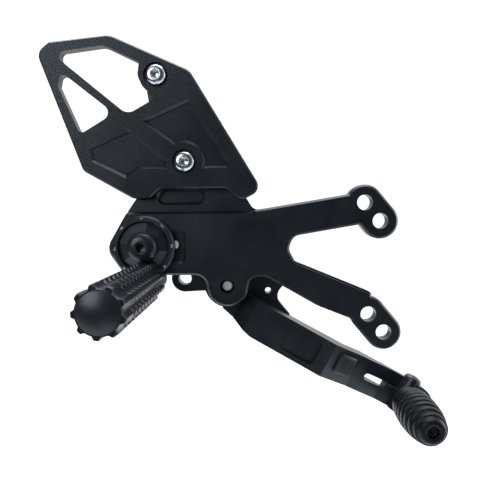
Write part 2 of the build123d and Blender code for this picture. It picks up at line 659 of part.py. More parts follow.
with BuildPart() as toe_peg_carrier:
    with BuildSketch(fold_plane(BAR_MID_V + 2.0)):
        Circle(5.0)
        with Locations((0, 3.5)):
            Rectangle(8.0, 7.0)
        with Locations((-TONGUE_L / 2, 0)):
            Rectangle(TONGUE_L, 8.0)
        Circle(3.0 + FIT, mode=Mode.SUBTRACT)
    extrude(amount=4.0)
    with BuildSketch(face_plane(FLANGE_H, TOE)):
        Circle(7.0)
    extrude(amount=SLEEVE_H - FLANGE_H)
    with BuildSketch(face_plane(SLEEVE_H, TOE)):
        Circle(4.5)
    extrude(amount=SEAT_H - SLEEVE_H)
    with BuildSketch(face_plane(SEAT_H, TOE)):
        Circle(2.5 + FIT)
    extrude(amount=-16.0, mode=Mode.SUBTRACT)
toe_peg_carrier.part.label = "toe_peg_carrier"
export_step(toe_peg_carrier.part, "parts/toe_peg_carrier.step")

RING_PITCH = 4.55
RINGS = 9
with BuildPart() as toe_peg_sleeve:
    with BuildSketch(Plane(origin=(TOE[0], -SLEEVE_H, TOE[1]), x_dir=(1, 0, 0), z_dir=(0, 0, 1))):
        with BuildLine():
            # Local y points inboard, so heights above the flange are negative.
            ridge = [9.0, 10.2, 11.0, 11.4, 11.5, 11.3, 10.9, 10.1, 8.9]
            points = [(4.5 + FIT, 0), (7.0, 0)]
            for ring in range(RINGS):
                start = 0.6 + ring * RING_PITCH
                points += [(ridge[ring] - 1.2, -start), (ridge[ring], -start - 0.6)]
                points += [(ridge[ring] - 0.1, -start - 3.2), (ridge[ring] - 1.3, -start - 3.9)]
            top = SLEEVE_TOP_H - SLEEVE_H
            seat = SLEEVE_H - SEAT_H
            points += [(7.0, 1.8 - top), (5.6, -top), (2.9, -top), (2.9, seat), (4.5 + FIT, seat)]
            Polyline(*points, close=True)
        make_face()
    revolve(axis=toe_axis)
toe_peg_sleeve.part.label = "toe_peg_sleeve"
export_step(toe_peg_sleeve.part, "parts/toe_peg_sleeve.step")

with BuildPart() as toe_peg_screw:
    with BuildSketch(face_plane(SEAT_H, TOE)):
        Circle(2.8)
        RegularPolygon(1.6, 6, mode=Mode.SUBTRACT)
    extrude(amount=3.2)
    with BuildSketch(face_plane(SEAT_H, TOE)):
        Circle(2.8)
    extrude(amount=1.2)
    with BuildSketch(face_plane(SEAT_H, TOE)):
        Circle(2.5)
    extrude(amount=-14.0)
toe_peg_screw.part.label = "toe_peg_screw"
export_step(toe_peg_screw.part, "parts/toe_peg_screw.step")

under_fold_head = Plane(origin=lever_point(TOE_U, bar_high, FOLD_H), x_dir=(0, -1, 0),
                        z_dir=(-fold_plane(0).z_dir.X, 0, -fold_plane(0).z_dir.Z))
with BuildPart() as toe_fold_bolt:
    add(button_screw(under_fold_head, 5.2, 3.3, 3.0, BAR_W, 2.3, 1.9))
toe_fold_bolt.part.label = "toe_fold_bolt"
export_step(toe_fold_bolt.part, "parts/toe_fold_bolt.step")
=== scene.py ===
"""Looks for the right-hand rearset: finishes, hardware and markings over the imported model.

Everything is in the model's frame, in metres: +X forward, +Z up, -Y outboard. Sizes named in
millimetres are turned into metres with MM. Heights h are outboard distances, so y = -h.
"""

from math import cos, pi, radians, sin, sqrt

import bpy
from mathutils import Matrix, Vector


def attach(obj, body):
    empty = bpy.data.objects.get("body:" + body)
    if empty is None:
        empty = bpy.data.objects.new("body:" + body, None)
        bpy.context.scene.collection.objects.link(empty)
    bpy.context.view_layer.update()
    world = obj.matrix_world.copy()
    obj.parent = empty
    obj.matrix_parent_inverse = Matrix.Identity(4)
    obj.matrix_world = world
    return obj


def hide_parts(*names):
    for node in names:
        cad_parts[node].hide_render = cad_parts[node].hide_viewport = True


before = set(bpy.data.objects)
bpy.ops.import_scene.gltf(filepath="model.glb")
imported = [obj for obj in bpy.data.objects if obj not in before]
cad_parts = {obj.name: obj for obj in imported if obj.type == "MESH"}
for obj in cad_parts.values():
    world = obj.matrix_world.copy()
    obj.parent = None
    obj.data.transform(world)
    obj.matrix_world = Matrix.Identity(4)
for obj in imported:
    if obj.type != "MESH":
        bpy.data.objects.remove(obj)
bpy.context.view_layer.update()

MM = 0.001

# ---------------------------------------------------------------- sizes, in millimetres
ECC = (-128.5, 12.5)          # axis of the eccentric and its clamp bolt
PEG = (-125.494, -5.855)      # axis of the foot peg
PIVOT = (-81.5, -13.0)        # axis of the lever
LEVER_ANGLE = -31.0           # the lever's bar from the horizontal
BAR_MID_V = -9.7              # middle of the bar, across it from the pivot
BAR_W = 21.0
TOE_U = 127.5                 # toe peg from the pivot, along the bar
FOLD_H = -5.0                 # height of the bolt that the toe peg folds on
PLATE_BACK_H = -3.0           # inboard face of the bracket at the eccentric and the pivot
HUB_BACK_H = -16.0            # inboard face of the lever's hub
FACE_H = 8.0                  # outboard face of the bracket
DISC_TOP_H = 12.5             # rim of the eccentric
HUB_TOP_H = 13.5              # hub of the eccentric, under the clamp bolt's head
BOSS_TOP_H = 25.0             # inner end of the foot peg
PEG_TOP_H = 106.0             # outer end of the foot peg, under its cap
GUARD_TOP_H = 11.0            # outboard face of the heel guard
GUARD_SCREWS = {"upper": (-116.2, 109.9), "lower": (-102.5, 60.4)}
SLEEVE_H = 1.5                # inner end of the toe sleeve
SLEEVE_TOP_H = 45.0           # outer end of the toe sleeve
SEAT_H = 40.6                 # seat of the screw in the toe peg's end
TURN = 72                     # vertices around a turned piece, a multiple of 6


# ---------------------------------------------------------------- placing
def face(x, z, h, inboard=False):
    """Placement whose local z points outboard, or inboard, from a point at height h."""
    out = Vector((0, 1, 0)) if inboard else Vector((0, -1, 0))
    return frame_of(Vector((x, -h, z)), Vector((1, 0, 0)), out)


def frame_of(origin, x_dir, z_dir):
    """Placement matrix in metres, from an origin in millimetres and two directions."""
    z = z_dir.normalized()
    x = (x_dir - z * x_dir.dot(z)).normalized()
    turn = Matrix((x, z.cross(x), z)).transposed()
    return Matrix.Translation(origin * MM) @ turn.to_4x4() @ Matrix.Scale(MM, 4)


def lever_point(u, v, h):
    """Point in millimetres from the lever's own axes: along the bar, across it, outboard."""
    c, s = cos(radians(LEVER_ANGLE)), sin(radians(LEVER_ANGLE))
    return Vector((PIVOT[0] + u * c - v * s, -h, PIVOT[1] + u * s + v * c))


def lever_direction(u, v, h):
    """Direction in the frame from a direction in the lever's axes."""
    return lever_point(u, v, h) - lever_point(0, 0, 0)


TOE = lever_point(TOE_U, BAR_MID_V, 0)


# ---------------------------------------------------------------- mesh making
def new_piece(name, verts, faces, place, smooth=40.0):
    """Mesh object from local vertices in millimetres, smooth except at corners over the angle."""
    mesh = bpy.data.meshes.new(name)
    mesh.from_pydata([place @ Vector(v) for v in verts], [], faces)
    mesh.validate()
    mesh.shade_smooth()
    mesh.set_sharp_from_angle(angle=radians(smooth))
    piece = bpy.data.objects.new(name, mesh)
    bpy.context.scene.collection.objects.link(piece)
    return piece


def rings_mesh(levels, turn=TURN, closed=False):
    """Vertices and faces of a stack of rings. A level is (radius or radius(angle), z)."""
    verts = []
    rows = []
    for radius, z in levels:
        if radius == 0:
            rows.append([len(verts)] * turn)
            verts.append((0, 0, z))
            continue
        row = []
        for i in range(turn):
            angle = 2 * pi * i / turn
            r = radius(angle) if callable(radius) else radius
            row.append(len(verts))
            verts.append((r * cos(angle), r * sin(angle), z))
        rows.append(row)
    faces = []
    pairs = list(zip(rows, rows[1:]))
    if closed:
        pairs.append((rows[-1], rows[0]))
    for low, high in pairs:
        for i in range(turn):
            j = (i + 1) % turn
            corners = [low[i], low[j], high[j], high[i]]
            face_corners = [c for k, c in enumerate(corners) if c != corners[k - 1]]
            if len(face_corners) > 2:
                faces.append(face_corners)
    return verts, faces


def hexagon(across_flats):
    """Radius of a hexagon as a function of angle."""
    def radius(angle):
        local = angle % (pi / 3) - pi / 6
        return across_flats / 2 / cos(local)
    return radius


def rounded(radius_of, limit):
    """Radius held to a limit, for the turned corners of a hexagon."""
    return lambda angle: min(radius_of(angle), limit)


STEPS_PER_TURN = 6            # sections drawn along each turn of a thread


def thread_levels(radius, start, end, pitch, depth):
    """Levels of a helical thread running from start to end along z."""
    levels = []
    count = max(2, int(abs(end - start) / pitch * STEPS_PER_TURN))
    for k in range(count + 1):
        z = start + (end - start) * k / count
        levels.append((thread_radius(radius, depth, z / pitch), z))
    return levels


def thread_radius(radius, depth, phase):
    """Radius around one cut through a thread."""
    def at(angle):
        wave = (phase - angle / (2 * pi)) % 1.0
        return radius - depth * abs(2 * wave - 1)
    return at


SHARP_ANGLE = 32.0            # corners of turned metal over this many degrees stay sharp
SHANK_LEAD = 0.4              # plain stretch before the first turn of a thread
SIDE_SHARE = 0.26             # share of a button head's height that its straight side takes
CROWN_STEPS = 9               # rings over the rounded part of a button head
LAND = 0.35                   # flat ring around a socket, outside its corners


def screw(name, place, head_r, head_h, socket, depth, shank_r, shank_l, thread_l=0.0, pitch=1.0):
    """Button-head socket screw, local z out of the head, with the underside of the head at zero."""
    land = socket / 2 / cos(pi / 6) + LAND
    side_h = head_h * SIDE_SHARE
    levels = [(0, -shank_l), (shank_r * 0.78, -shank_l)]
    if thread_l:
        levels += thread_levels(shank_r, -shank_l + SHANK_LEAD, -shank_l + thread_l, pitch, pitch * 0.5)
    else:
        levels.append((shank_r, -shank_l + SHANK_LEAD))
    levels += [(shank_r, -shank_l + thread_l + 0.6), (shank_r, 0)]
    levels += [(head_r - 0.25, 0), (head_r, 0.25), (head_r, side_h)]
    for k in range(1, CROWN_STEPS + 1):
        t = k / CROWN_STEPS * pi / 2
        r = land + (head_r - land) * cos(t) ** 0.92
        levels.append((r, side_h + head_h * (1 - SIDE_SHARE) * sin(t)))
    levels += [(land - 0.1, head_h - 0.02), (hexagon(socket), head_h - 0.35)]
    levels += [(hexagon(socket), head_h - depth), (hexagon(socket * 0.93), head_h - depth - 0.1)]
    levels.append((0, head_h - depth - 0.7))
    verts, faces = rings_mesh(levels)
    return new_piece(name, verts, faces, place, SHARP_ANGLE)


NUT_CORNERS = ((0.15, 0.945), (0.4, 0.98), (0.75, 1.0))     # distance from an end, share of the radius


def nut(name, place, across_flats, height, bore, collar):
    """Hexagon nut with turned corners and a round locking collar, standing on its seat."""
    corner = across_flats / 2 / cos(pi / 6)
    hexa = hexagon(across_flats)
    body = height - collar
    side = across_flats / 2 * 0.92
    levels = [(bore, 0), (rounded(hexa, across_flats / 2 * 0.96), 0)]
    for lift, reach in NUT_CORNERS:
        levels.append((rounded(hexa, corner * reach), lift))
    for drop, reach in reversed(NUT_CORNERS):
        levels.append((rounded(hexa, corner * reach), body - drop))
    levels += [(side, body), (side, height - 0.7), (side - 0.25, height - 0.25)]
    levels += [(side - 0.8, height), (bore + 0.9, height), (bore + 0.6, height - 0.25)]
    levels.append((bore, height - 0.6))
    verts, faces = rings_mesh(levels, closed=True)
    return new_piece(name, verts, faces, place, SHARP_ANGLE)


def smooth_min(a, b, blend):
    """Lesser of two numbers with a rounded change between them."""
    t = max(blend - abs(a - b), 0.0) / blend
    return min(a, b) - t * t * blend / 4


# ---------------------------------------------------------------- materials
def node_tree(name):
    """New material with its node tree, its shader and a piece-space coordinate output."""
    made = bpy.data.materials.new(name)
    made.use_nodes = True
    nodes = made.node_tree.nodes
    shader = nodes["Principled BSDF"]
    coords = nodes.new("ShaderNodeTexCoord")
    return made, nodes, made.node_tree.links, shader, coords.outputs["Object"]


def noise(nodes, links, coords, scale, detail=3.0):
    """Noise texture over the piece's own coordinates."""
    texture = nodes.new("ShaderNodeTexNoise")
    texture.inputs["Scale"].default_value = scale
    texture.inputs["Detail"].default_value = detail
    texture.inputs["Roughness"].default_value = 0.55
    links.new(coords, texture.inputs["Vector"])
    return texture.outputs["Fac"]


def remap(nodes, links, value, low, high, out_low, out_high):
    """Value mapped from one range to another and held inside it."""
    ranged = nodes.new("ShaderNodeMapRange")
    limits = {"From Min": low, "From Max": high, "To Min": out_low, "To Max": out_high}
    for socket, number in limits.items():
        ranged.inputs[socket].default_value = number
    links.new(value, ranged.inputs["Value"])
    return ranged.outputs["Result"]


def maths(nodes, links, kind, first, second=0.0):
    """One arithmetic step. Either side is a node output or a number."""
    step = nodes.new("ShaderNodeMath")
    step.operation = kind
    for side, value in enumerate((first, second)):
        if isinstance(value, (int, float)):
            step.inputs[side].default_value = value
        else:
            links.new(value, step.inputs[side])
    return step.outputs[0]


def mix_colour(nodes, links, factor, first, second):
    """Two plain colours mixed by a factor."""
    mixed = nodes.new("ShaderNodeMix")
    mixed.data_type = "RGBA"
    mixed.inputs["A"].default_value = (*first, 1)
    mixed.inputs["B"].default_value = (*second, 1)
    links.new(factor, mixed.inputs["Factor"])
    return mixed.outputs["Result"]


def bump(nodes, links, shader, height, distance, strength, under=None):
    """Bump from a height, on top of another bump if one is given."""
    made = nodes.new("ShaderNodeBump")
    made.inputs["Strength"].default_value = strength
    made.inputs["Distance"].default_value = distance
    links.new(height, made.inputs["Height"])
    if under:
        links.new(under, made.inputs["Normal"])
    links.new(made.outputs["Normal"], shader.inputs["Normal"])
    return made.outputs["Normal"]


def vary(nodes, links, value, target, low, high):
    """Lets a cloudy texture move a shader input between two levels."""
    links.new(remap(nodes, links, value, 0.3, 0.7, low, high), target)


ANODISED_BLUE = (0.80, 0.92, 1.0, 1.0)        # tint of the reflections on black anodising
BLAST_DEPTH = 0.00003                         # depth of the blasted grain, in metres


def anodised(name, base=(0.0075, 0.0095, 0.0135), roughness=0.33, gloss=0.5, ridges=False):
    """Satin black anodising, with a fine blasted grain or diagonal machining ridges."""
    made, nodes, links, shader, coords = node_tree(name)
    clouds = noise(nodes, links, coords, 60.0)
    fine = noise(nodes, links, coords, 2600.0, 2.0)
    tone = remap(nodes, links, clouds, 0.3, 0.7, 0.0, 1.0)
    dark = tuple(c * 0.8 for c in base)
    light = tuple(c * 1.25 for c in base)
    links.new(mix_colour(nodes, links, tone, dark, light), shader.inputs["Base Color"])
    vary(nodes, links, clouds, shader.inputs["Roughness"], roughness - 0.04, roughness + 0.05)
    shader.inputs["Specular IOR Level"].default_value = gloss
    shader.inputs["Specular Tint"].default_value = ANODISED_BLUE
    under = bump(nodes, links, shader, fine, BLAST_DEPTH, 0.6)
    if ridges:
        machined_ridges(nodes, links, shader, coords, under)
    return made


RIDGE_ANGLE = 38.0            # slope of the heel guard's tool ridges
RIDGE_PITCH = 1.3             # distance from ridge to ridge, in millimetres
RIDGE_DEPTH = 0.00008         # height of a ridge in the bump, in metres


def machined_ridges(nodes, links, shader, coords, under):
    """Diagonal tool ridges on faces that look outboard."""
    split = nodes.new("ShaderNodeSeparateXYZ")
    links.new(coords, split.inputs[0])
    across = maths(nodes, links, "ADD",
                   maths(nodes, links, "MULTIPLY", split.outputs["X"], sin(radians(RIDGE_ANGLE))),
                   maths(nodes, links, "MULTIPLY", split.outputs["Z"], cos(radians(RIDGE_ANGLE))))
    turns = maths(nodes, links, "MULTIPLY", across, 2 * pi / (RIDGE_PITCH * MM))
    wave = maths(nodes, links, "SINE", turns)
    geometry = nodes.new("ShaderNodeNewGeometry")
    facing = nodes.new("ShaderNodeSeparateXYZ")
    links.new(geometry.outputs["True Normal"], facing.inputs[0])
    mask = remap(nodes, links, facing.outputs["Y"], -0.9, -0.98, 0.0, 1.0)
    height = maths(nodes, links, "MULTIPLY", wave, mask)
    bump(nodes, links, shader, height, RIDGE_DEPTH, 0.9, under)


METAL_GRAIN = 0.00002         # depth of the fine marks on plated metal, in metres


def metal(name, base, roughness, metallic=1.0):
    """Plated or plain metal with fine wear."""
    made, nodes, links, shader, coords = node_tree(name)
    clouds = noise(nodes, links, coords, 225.0)
    fine = noise(nodes, links, coords, 2700.0, 2.0)
    tone = remap(nodes, links, clouds, 0.35, 0.65, 0.0, 1.0)
    dark = tuple(c * 0.82 for c in base)
    links.new(mix_colour(nodes, links, tone, dark, base), shader.inputs["Base Color"])
    vary(nodes, links, clouds, shader.inputs["Roughness"], roughness - 0.05, roughness + 0.07)
    shader.inputs["Metallic"].default_value = metallic
    bump(nodes, links, shader, fine, METAL_GRAIN, 0.5)
    return made


def soft(name, base, roughness, grain=0.00004):
    """Rubber, plastic or paint: no metal, with a soft uneven surface."""
    made, nodes, links, shader, coords = node_tree(name)
    clouds = noise(nodes, links, coords, 500.0)
    tone = remap(nodes, links, clouds, 0.3, 0.7, 0.0, 1.0)
    dark = tuple(c * 0.85 for c in base)
    links.new(mix_colour(nodes, links, tone, dark, base), shader.inputs["Base Color"])
    vary(nodes, links, clouds, shader.inputs["Roughness"], roughness - 0.06, roughness + 0.06)
    bump(nodes, links, shader, noise(nodes, links, coords, 3000.0), grain, 0.5)
    return made


plain_black = anodised("black_anodised")
ridged_black = anodised("black_anodised_machined", ridges=True)
peg_black = anodised("black_anodised_peg", (0.006, 0.007, 0.010), 0.36, gloss=0.34)
sleeve_black = anodised("black_anodised_sleeve", (0.005, 0.006, 0.008), 0.36, gloss=0.18)
zinc = metal("zinc_steel", (0.60, 0.68, 0.76), 0.22)
black_steel = metal("black_steel", (0.010, 0.011, 0.014), 0.34, metallic=0.0)
dull_zinc = metal("zinc_steel_dull", (0.66, 0.69, 0.71), 0.5, metallic=0.15)
bearing_steel = metal("bearing_steel", (0.62, 0.63, 0.65), 0.18)
rubber = soft("seal_rubber", (0.020, 0.020, 0.021), 0.62)
nylon = soft("nut_nylon", (0.10, 0.22, 0.55), 0.45)
paint = soft("marking_paint", (0.72, 0.73, 0.73), 0.55, 0.00001)


def paint_piece(piece, material):
    """Puts one material on a piece built here."""
    piece.data.materials.clear()
    piece.data.materials.append(material)
    return piece


EDGE_ANGLE = 38.0             # edges of a CAD node over this many degrees are eased


def finish_node(name, material, edge=0.0):
    """Puts a material on a CAD node, and rounds its sharp edges by edge millimetres."""
    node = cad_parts[name]
    for slot in node.material_slots:
        slot.material = material
    if edge:
        rounding = node.modifiers.new("eased_edges", "BEVEL")
        rounding.width = edge * MM
        rounding.segments = 2
        rounding.limit_method = "ANGLE"
        rounding.angle_limit = radians(EDGE_ANGLE)
        rounding.use_clamp_overlap = True
        rounding.harden_normals = False
    return node


# ---------------------------------------------------------------- finishes of the CAD nodes
finish_node("mounting_bracket", plain_black, 0.25)
finish_node("heel_guard", ridged_black, 0.25)
finish_node("brake_lever", plain_black, 0.3)
finish_node("peg_eccentric", plain_black, 0.2)
finish_node("toe_peg_carrier", plain_black, 0.2)
finish_node("eccentric_washer", zinc, 0.15)
finish_node("pivot_washer", zinc, 0.15)
finish_node("pivot_shim", bearing_steel)
finish_node("pivot_spacer", bearing_steel)
finish_node("bearing_outer_races", bearing_steel)
finish_node("bearing_inner_races", bearing_steel)
finish_node("bearing_balls", bearing_steel)
finish_node("bearing_seals", rubber)


# ---------------------------------------------------------------- hardware
SCREW_SINK = 1.5              # how far the heel guard's screws stand below its face


def guard_screws():
    """The two bright socket screws of the heel guard."""
    for name, (x, z) in GUARD_SCREWS.items():
        piece = screw("heel_guard_screw_" + name, face(x, z, GUARD_TOP_H - SCREW_SINK), head_r=5.9,
                      head_h=3.3, socket=4.0, depth=2.2, shank_r=3.0, shank_l=9.0, thread_l=5.0)
        paint_piece(piece, zinc)
        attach(piece, "bracket")
        yield piece


upper_screw, lower_screw = guard_screws()
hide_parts("heel_guard_screws")


CLAMP_R = 5.0                 # shank of the clamp bolt
WASHER_T = 1.6
NUT_H = 8.4
NUT_SEAT_H = PLATE_BACK_H - WASHER_T
THREAD_SHOWING = 1.5          # how far the clamp bolt reaches past its nut


def clamp_hardware():
    """Clamp bolt through the eccentric, and its locking nut behind the bracket."""
    length = HUB_TOP_H - PLATE_BACK_H + WASHER_T + NUT_H + THREAD_SHOWING
    nut_place = face(*ECC, NUT_SEAT_H, inboard=True)
    bolt = screw("clamp_bolt", face(*ECC, HUB_TOP_H), head_r=8.75, head_h=5.5, socket=5.0, depth=3.4,
                 shank_r=CLAMP_R, shank_l=length, thread_l=12.0, pitch=1.5)
    paint_piece(bolt, plain_black)
    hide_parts("eccentric_clamp_bolt")
    lock = nut("clamp_lock_nut", nut_place, across_flats=16.0, height=NUT_H, bore=CLAMP_R + 0.02,
               collar=2.2)
    paint_piece(lock, zinc)
    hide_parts("eccentric_lock_nut")
    insert_r = CLAMP_R + 0.03
    ring = [(insert_r, 6.9), (5.7, 6.9), (5.8, 8.05), (insert_r, 8.05)]
    insert = new_piece("clamp_nut_insert", *rings_mesh(ring, closed=True), nut_place)
    paint_piece(insert, nylon)
    for piece in (bolt, lock, insert):
        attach(piece, "bracket")


clamp_hardware()


PIVOT_WASHER_T = 1.4
PIVOT_WASHER_SINK = 0.3       # how far the washer under the pivot bolt's head sits in the lever's hub
PIVOT_END_R = 3.0             # turned end of the pivot bolt, in the bracket's counterbore
PIVOT_END_H = 5.0


def pivot_hardware():
    """Pivot bolt: domed head inboard of the lever, turned end showing in the bracket's face."""
    head_h = HUB_BACK_H + PIVOT_WASHER_SINK - PIVOT_WASHER_T
    bolt = screw("lever_pivot_bolt", face(*PIVOT, head_h, inboard=True), head_r=7.0, head_h=4.4,
                 socket=5.0, depth=2.6, shank_r=4.0, shank_l=PLATE_BACK_H - head_h)
    paint_piece(bolt, zinc)
    end_levels = [(PIVOT_END_R, PLATE_BACK_H), (PIVOT_END_R, PIVOT_END_H - 0.4), (2.6, PIVOT_END_H)]
    end_levels += [(2.3, PIVOT_END_H + 0.1), (2.1, PIVOT_END_H - 0.15), (0, PIVOT_END_H - 0.25)]
    end = new_piece("lever_pivot_end", *rings_mesh(end_levels), face(*PIVOT, 0))
    paint_piece(end, dull_zinc)
    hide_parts("pivot_bolt")
    for piece in (bolt, end):
        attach(piece, "bracket")


pivot_hardware()


def fold_hardware():
    """Bolt that the toe peg folds on."""
    up = lever_direction(0, 1, 0)
    along = lever_direction(1, 0, 0)
    head = lever_point(TOE_U, BAR_MID_V + BAR_W / 2, FOLD_H)
    bolt = screw("fold_pin_bolt", frame_of(head, along, up), head_r=5.2, head_h=3.3, socket=4.0,
                 depth=2.0, shank_r=3.0, shank_l=BAR_W, thread_l=6.0)
    paint_piece(bolt, black_steel)
    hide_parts("toe_fold_bolt")
    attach(bolt, "lever")


fold_hardware()


PEG_BOLT_R = 4.0
PEG_BOLT_L = 36.0
PEG_BOLT_LIFT = 0.4           # how far its head stands off the bracket's face, inside the eccentric


def peg_bolt():
    """Countersunk bolt that holds the peg to the eccentric."""
    shank = [(0, PEG_BOLT_L), (3.2, PEG_BOLT_L), (PEG_BOLT_R, PEG_BOLT_L - 0.8), (PEG_BOLT_R, 3.5)]
    head = [(7.4, 0.05), (7.2, 0), (3.6, 0)]
    socket = [(hexagon(5.0), 0.4), (hexagon(5.0), 2.8), (0, 3.4)]
    piece = new_piece("peg_bolt", *rings_mesh(shank + head + socket), face(*PEG, FACE_H + PEG_BOLT_LIFT),
                      SHARP_ANGLE)
    paint_piece(piece, black_steel)
    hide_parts("foot_peg_bolt")
    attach(piece, "peg")


peg_bolt()

# ---------------------------------------------------------------- foot peg
PEG_R = 11.3
PEG_ROWS = 9                  # rows of teeth, with a flute between each two
PEG_TEETH = 10                # teeth in a row
VERTS_PER_ROW = 24            # vertices around the peg for each row
TEETH_START = 11.0            # distance of the first tooth from the peg's inner end
TOOTH_PITCH = 6.2
TOOTH_DEPTH = 1.6
TOOTH_CUT = (1.4, 2.6, 3.6)   # where the notch ends its fall, ends its floor and is back at the top
FLUTE_R = 3.4
FLUTE_CENTRE_R = 12.9
FLUTE_TURN = 1.5              # degrees from +X to the first flute
FLUTE_BLEND = 0.25            # rounding between a flute and the peg's outside


def flute_radius(angle):
    """Radius of the fluted peg, without its teeth, at an angle."""
    step = 2 * pi / PEG_ROWS
    off = (angle - radians(FLUTE_TURN) + step / 2) % step - step / 2
    inside = FLUTE_R ** 2 - (FLUTE_CENTRE_R * sin(off)) ** 2
    if inside <= 0:
        return PEG_R
    flute = FLUTE_CENTRE_R * cos(off) - sqrt(inside)
    return smooth_min(PEG_R, flute, FLUTE_BLEND)


def tooth_radius(s):
    """Radius of the toothed peg, without its flutes, at a distance along it."""
    fall_end, floor_end, rise_end = TOOTH_CUT
    local = (s - TEETH_START) % TOOTH_PITCH
    if s < TEETH_START or s > TEETH_START + PEG_TEETH * TOOTH_PITCH - floor_end:
        return PEG_R
    if local < fall_end:
        return PEG_R - TOOTH_DEPTH * local / fall_end
    if local < floor_end:
        return PEG_R - TOOTH_DEPTH
    if local < rise_end:
        return PEG_R - TOOTH_DEPTH * (rise_end - local) / (rise_end - floor_end)
    return PEG_R


def peg_levels(length):
    """Distances along the peg where its section is drawn."""
    stops = [0.0, 0.35, 1.0, 3.0, 6.0, 9.0, TEETH_START - 0.15]
    for tooth in range(PEG_TEETH):
        start = TEETH_START + tooth * TOOTH_PITCH
        stops += [start + d for d in (0.0, 0.12, 1.3, 1.45, 2.5, 2.65, 3.4, 3.6, 3.8, 5.0, 5.9)]
    stops += [length - d for d in (6.0, 4.0, 3.0, 2.2, 1.7, 1.2, 0.7, 0.25, 0.0)]
    return [s for s in stops if s <= length]


def foot_peg():
    """Toothed peg as one skin: flutes, teeth, rounded ends and the recess for the cap."""
    length = PEG_TOP_H - BOSS_TOP_H
    levels = [(0, 0.0)]
    for s in peg_levels(length):
        lead = max(0.0, 1.0 - s) * 0.9
        run_out = max(0.0, s - (length - 2.0))
        trim = lead + 0.12 * run_out ** 2

        def radius(angle, s=s, trim=trim):
            return min(flute_radius(angle), tooth_radius(s)) - trim
        levels.append((radius, s))
    levels += [(9.15, length), (9.1, length - 0.3), (0, length - 0.3)]
    verts, faces = rings_mesh(levels, turn=PEG_ROWS * VERTS_PER_ROW)
    piece = new_piece("foot_peg_body", verts, faces, face(*PEG, BOSS_TOP_H), 35.0)
    paint_piece(piece, peg_black)
    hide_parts("foot_peg")
    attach(piece, "peg")


foot_peg()


CROWN_R = 8.8                 # dome of the end cap
CROWN_RISE = 1.95
DOME_STEPS = 14


def peg_cap():
    """Domed end cap of the peg, with a thin rim."""
    levels = [(0, -8.0), (7.9, -8.0), (8.0, -0.2), (9.35, -0.2), (9.45, 0.12), (9.3, 0.42), (8.95, 0.45)]
    for k in range(1, DOME_STEPS + 1):
        r = CROWN_R * cos(k / DOME_STEPS * pi / 2)
        levels.append((r if k < DOME_STEPS else 0, 0.4 + CROWN_RISE * (1 - (r / CROWN_R) ** 2)))
    piece = new_piece("peg_end_cap", *rings_mesh(levels, turn=96), face(*PEG, PEG_TOP_H), 50.0)
    paint_piece(piece, plain_black)
    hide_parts("foot_peg_end_cap")
    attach(piece, "peg")


peg_cap()

# ---------------------------------------------------------------- toe peg
RING_PITCH = 4.55
FIRST_RING = 0.6              # start of the first ring from the sleeve's inner end
RIDGES = (9.0, 10.2, 11.0, 11.4, 11.5, 11.3, 10.9, 10.1, 8.9)      # radius at the top of each ring
RING_SHAPE = ((1.3, 0.0), (0.5, 0.15), (0.12, 0.45), (0.0, 0.9), (0.02, 2.2), (0.15, 2.9), (0.5, 3.4),
              (1.25, 3.7), (1.4, 4.1))      # drop below the top and distance along, over one ring
SLEEVE_BORE = 4.6             # bore over the carrier's pin
RECESS_R = 3.0                # recess for the end screw


def toe_sleeve():
    """Ringed toe peg sleeve with rounded ribs and a recessed end."""
    top = SLEEVE_TOP_H - SLEEVE_H
    levels = [(SLEEVE_BORE, SEAT_H - SLEEVE_H), (SLEEVE_BORE, 0.0), (7.0, 0.0), (7.2, 0.3)]
    for i, ridge in enumerate(RIDGES):
        start = FIRST_RING + i * RING_PITCH
        levels += [(ridge - drop, start + along) for drop, along in RING_SHAPE]
    levels += [(7.0, top - 1.8), (6.6, top - 0.8), (6.0, top - 0.2), (5.4, top), (3.7, top)]
    levels += [(3.2, top - 0.3), (RECESS_R, top - 0.9), (RECESS_R, SEAT_H - SLEEVE_H)]
    piece = new_piece("toe_sleeve", *rings_mesh(levels, closed=True), face(TOE.x, TOE.z, SLEEVE_H), 40.0)
    paint_piece(piece, sleeve_black)
    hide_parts("toe_peg_sleeve")
    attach(piece, "toe")


toe_sleeve()


def toe_end_screw():
    """Screw sunk in the end of the toe peg."""
    piece = screw("toe_end_screw", face(TOE.x, TOE.z, SEAT_H), head_r=2.8, head_h=3.2, socket=3.0,
                  depth=1.8, shank_r=2.5, shank_l=14.0, thread_l=9.0, pitch=0.8)
    paint_piece(piece, sleeve_black)
    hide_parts("toe_peg_screw")
    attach(piece, "toe")


toe_end_screw()

# ---------------------------------------------------------------- lever pad
PAD_AT = (84.4, -8.4, 5.9)    # middle of the raised pad, in the lever's axes
PAD_SLOPE = -27.1             # slope of the pad, falling inboard along the bar
PAD_SIZE = (10.8, 9.9)        # field of pyramids, inside the pad's rim
KNURL = (12, 11)              # pyramids along and across
PYRAMID_FOOT = -0.05          # the pyramids' feet, sunk into the pad's face
PYRAMID_TOP = 0.34
PYRAMID_FLAT = (0.38, 0.62)   # shares of a pyramid's side where its flat top starts and ends


